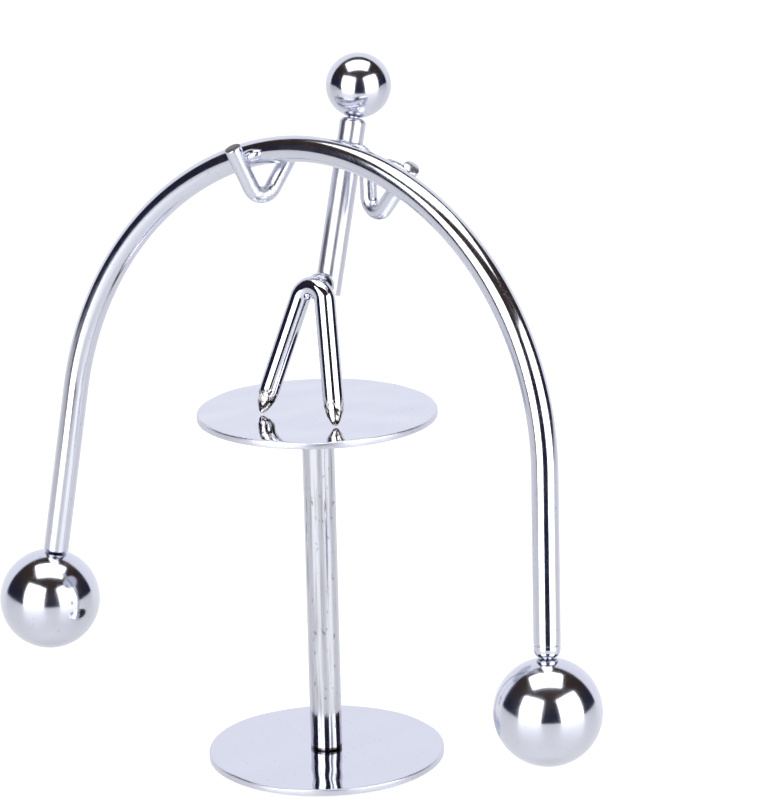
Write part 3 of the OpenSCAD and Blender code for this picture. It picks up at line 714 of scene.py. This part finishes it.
def stage_sheet(name, points, material):
    """A sheet of the studio, from a grid of points in metres."""
    rows, columns = points.shape[:2]
    here = np.arange(rows * columns).reshape(rows, columns)
    quads = np.stack([here[:-1, :-1], here[:-1, 1:], here[1:, 1:], here[1:, :-1]], -1).reshape(-1, 4)
    mesh = bpy.data.meshes.new(name)
    mesh.from_pydata(points.reshape(-1, 3).tolist(), [], quads.tolist())
    mesh.materials.append(material)
    sheet = bpy.data.objects.new(name, mesh)
    bpy.context.scene.collection.objects.link(sheet)
    return sheet


def seen_only_by(sheet, ray):
    """Hides a sheet from every kind of ray but one."""
    for kind in ("camera", "diffuse", "glossy", "shadow", "transmission", "volume_scatter"):
        setattr(sheet, "visible_" + kind, kind == ray)


def glowing(name):
    """A material that only gives off light: itself, its nodes and links, and its light."""
    material = bpy.data.materials.new(name)
    material.use_nodes = True
    nodes, links = material.node_tree.nodes, material.node_tree.links
    glow = nodes.new("ShaderNodeEmission")
    glow.inputs["Color"].default_value = (1, 1, 1, 1)
    links.new(glow.outputs[0], nodes["Material Output"].inputs["Surface"])
    return material, nodes, links, glow


def white_paper():
    """The floor: white paper that takes the object's shadow, lifted to the white of the background where the camera
    sees it, and clear to a camera that looks up from below it."""
    material, nodes, links, glow = glowing("white_paper")
    shader = nodes["Principled BSDF"]
    shader.inputs["Base Color"].default_value = (*PAPER_GREY, 1)
    shader.inputs["Roughness"].default_value = PAPER_ROUGH
    path = nodes.new("ShaderNodeLightPath")
    camera = ranged(nodes, links, path.outputs["Is Camera Ray"], 0, 1, 0, CAMERA_LIFT)
    mirror = ranged(nodes, links, path.outputs["Is Glossy Ray"], 0, 1, 0, MIRROR_LIFT)
    links.new(joined(nodes, links, camera, mirror, "MAXIMUM"), glow.inputs["Strength"])
    both = nodes.new("ShaderNodeAddShader")
    links.new(shader.outputs[0], both.inputs[0])
    links.new(glow.outputs[0], both.inputs[1])
    side = nodes.new("ShaderNodeNewGeometry")
    below = joined(nodes, links, side.outputs["Backfacing"], path.outputs["Is Camera Ray"], "MULTIPLY")
    through = nodes.new("ShaderNodeMixShader")
    links.new(below, through.inputs[0])
    links.new(both.outputs[0], through.inputs[1])
    links.new(nodes.new("ShaderNodeBsdfTransparent").outputs[0], through.inputs[2])
    links.new(through.outputs[0], nodes["Material Output"].inputs["Surface"])
    return material


def black_cloth():
    """The dark room as polished metal sees it: nearly black, bluer below and browner above."""
    material, nodes, links, glow = glowing("black_cloth")
    share = height_share(nodes, links, nodes.new("ShaderNodeTexCoord"), *CLOTH_HEIGHTS)
    links.new(tinted(nodes, links, share, CLOTH_LOW, CLOTH_HIGH), glow.inputs["Color"])
    return material


def softbox_face():
    """The lit front of a softbox, as polished metal sees it."""
    material, nodes, links, glow = glowing("softbox_face")
    glow.inputs["Strength"].default_value = FACE_LIGHT
    return material


s, r = np.meshgrid(np.linspace(-FLOOR_BACK, FLOOR_FRONT, 3), np.linspace(-FLOOR_SIDE, FLOOR_SIDE, 3))
floor_points = s[..., None] * TO_CAMERA + r[..., None] * TO_RIGHT
floor_points[..., 2] = -FLOOR_DROP
paper = white_paper()
stage_sheet("floor", floor_points, paper)
near_points = floor_points.copy()
near_points[..., :2] += (FLOOR_FRONT + FLOOR_BACK) * TO_CAMERA[:2]
seen_only_by(stage_sheet("near_floor", near_points, paper), "camera")

share, q = np.meshgrid(np.linspace(0, 1, 48), np.linspace(0, 2 * np.pi, 97), indexing="ij")
backdrop = BACKDROP_SIDE + (BACKDROP_TOP - BACKDROP_SIDE) * np.maximum(np.sin(q), 0) ** 4
t = backdrop + (np.pi - backdrop) * share
room = ROOM_RADIUS * (-np.cos(t)[..., None] * TO_CAMERA
                      + np.sin(t)[..., None] * (np.cos(q)[..., None] * TO_RIGHT
                                                + np.sin(q)[..., None] * np.array([0, 0, 1.0])))
room[..., 2] = np.maximum(room[..., 2], ROOM_LOW)
seen_only_by(stage_sheet("dark_room", room, black_cloth()), "glossy")
face = softbox_face()


def softbox(name, azimuth, rise, away, width, height, radiance, aim=(0, 0, 0.06)):
    """A flat lamp at a bearing from the camera's own, facing the object, its power set from how bright it looks, and
    the lit face that polished metal sees: its middle + u * side + v * up."""
    a, e = np.radians(azimuth), np.radians(rise)
    flat = np.cos(a) * TO_CAMERA + np.sin(a) * TO_RIGHT
    outward = np.cos(e) * flat + np.array([0, 0, np.sin(e)])
    side = unit(np.cross([0, 0, 1], outward)) if abs(outward[2]) < 0.999 else TO_RIGHT
    up = np.cross(outward, side)
    data = bpy.data.lights.new(name, "AREA")
    data.shape = "RECTANGLE"
    data.size, data.size_y = width, height
    data.energy = radiance * np.pi * width * height
    data.color = (1, 1, 1)
    lamp = bpy.data.objects.new(name, data)
    bpy.context.scene.collection.objects.link(lamp)
    turn = np.eye(4)
    turn[:3, 0], turn[:3, 1], turn[:3, 2] = side, up, outward
    turn[:3, 3] = np.array(aim) + outward * away
    lamp.matrix_world = Matrix(turn.tolist())
    lamp.visible_camera = False
    lamp.visible_glossy = False
    u, v = np.meshgrid(np.linspace(-width / 2, width / 2, 2), np.linspace(-height / 2, height / 2, 2))
    points = turn[:3, 3] + outward * FACE_GAP + u[..., None] * side + v[..., None] * up
    seen_only_by(stage_sheet(name + "_face", points, face), "glossy")


softbox("overhead_softbox", azimuth=0, rise=88, away=0.75, width=0.82, height=0.54, radiance=1.7)
softbox("left_softbox", azimuth=-38.5, rise=14, away=0.75, width=0.68, height=0.81, radiance=1.6)
softbox("right_softbox", azimuth=48.5, rise=13, away=0.75, width=0.70, height=0.81, radiance=1.6)


def add_world():
    """White where the camera and polished metal look past the floor, and a soft grey fill for everything else."""
    world = bpy.data.worlds.new("studio")
    bpy.context.scene.world = world
    world.use_nodes = True
    nodes, links = world.node_tree.nodes, world.node_tree.links
    back = nodes["Background"]
    path = nodes.new("ShaderNodeLightPath")
    links.new(tinted(nodes, links, path.outputs["Is Glossy Ray"], (1, 1, 1), SKY_MIRRORED), back.inputs["Color"])
    seen = joined(nodes, links, path.outputs["Is Camera Ray"], path.outputs["Is Glossy Ray"], "MAXIMUM")
    seen = joined(nodes, links, seen, path.outputs["Is Transmission Ray"], "MAXIMUM")
    links.new(ranged(nodes, links, seen, 0, 1, FILL_LIGHT, 1.0), back.inputs["Strength"])


add_world()
bpy.context.scene.view_settings.view_transform = "Standard"
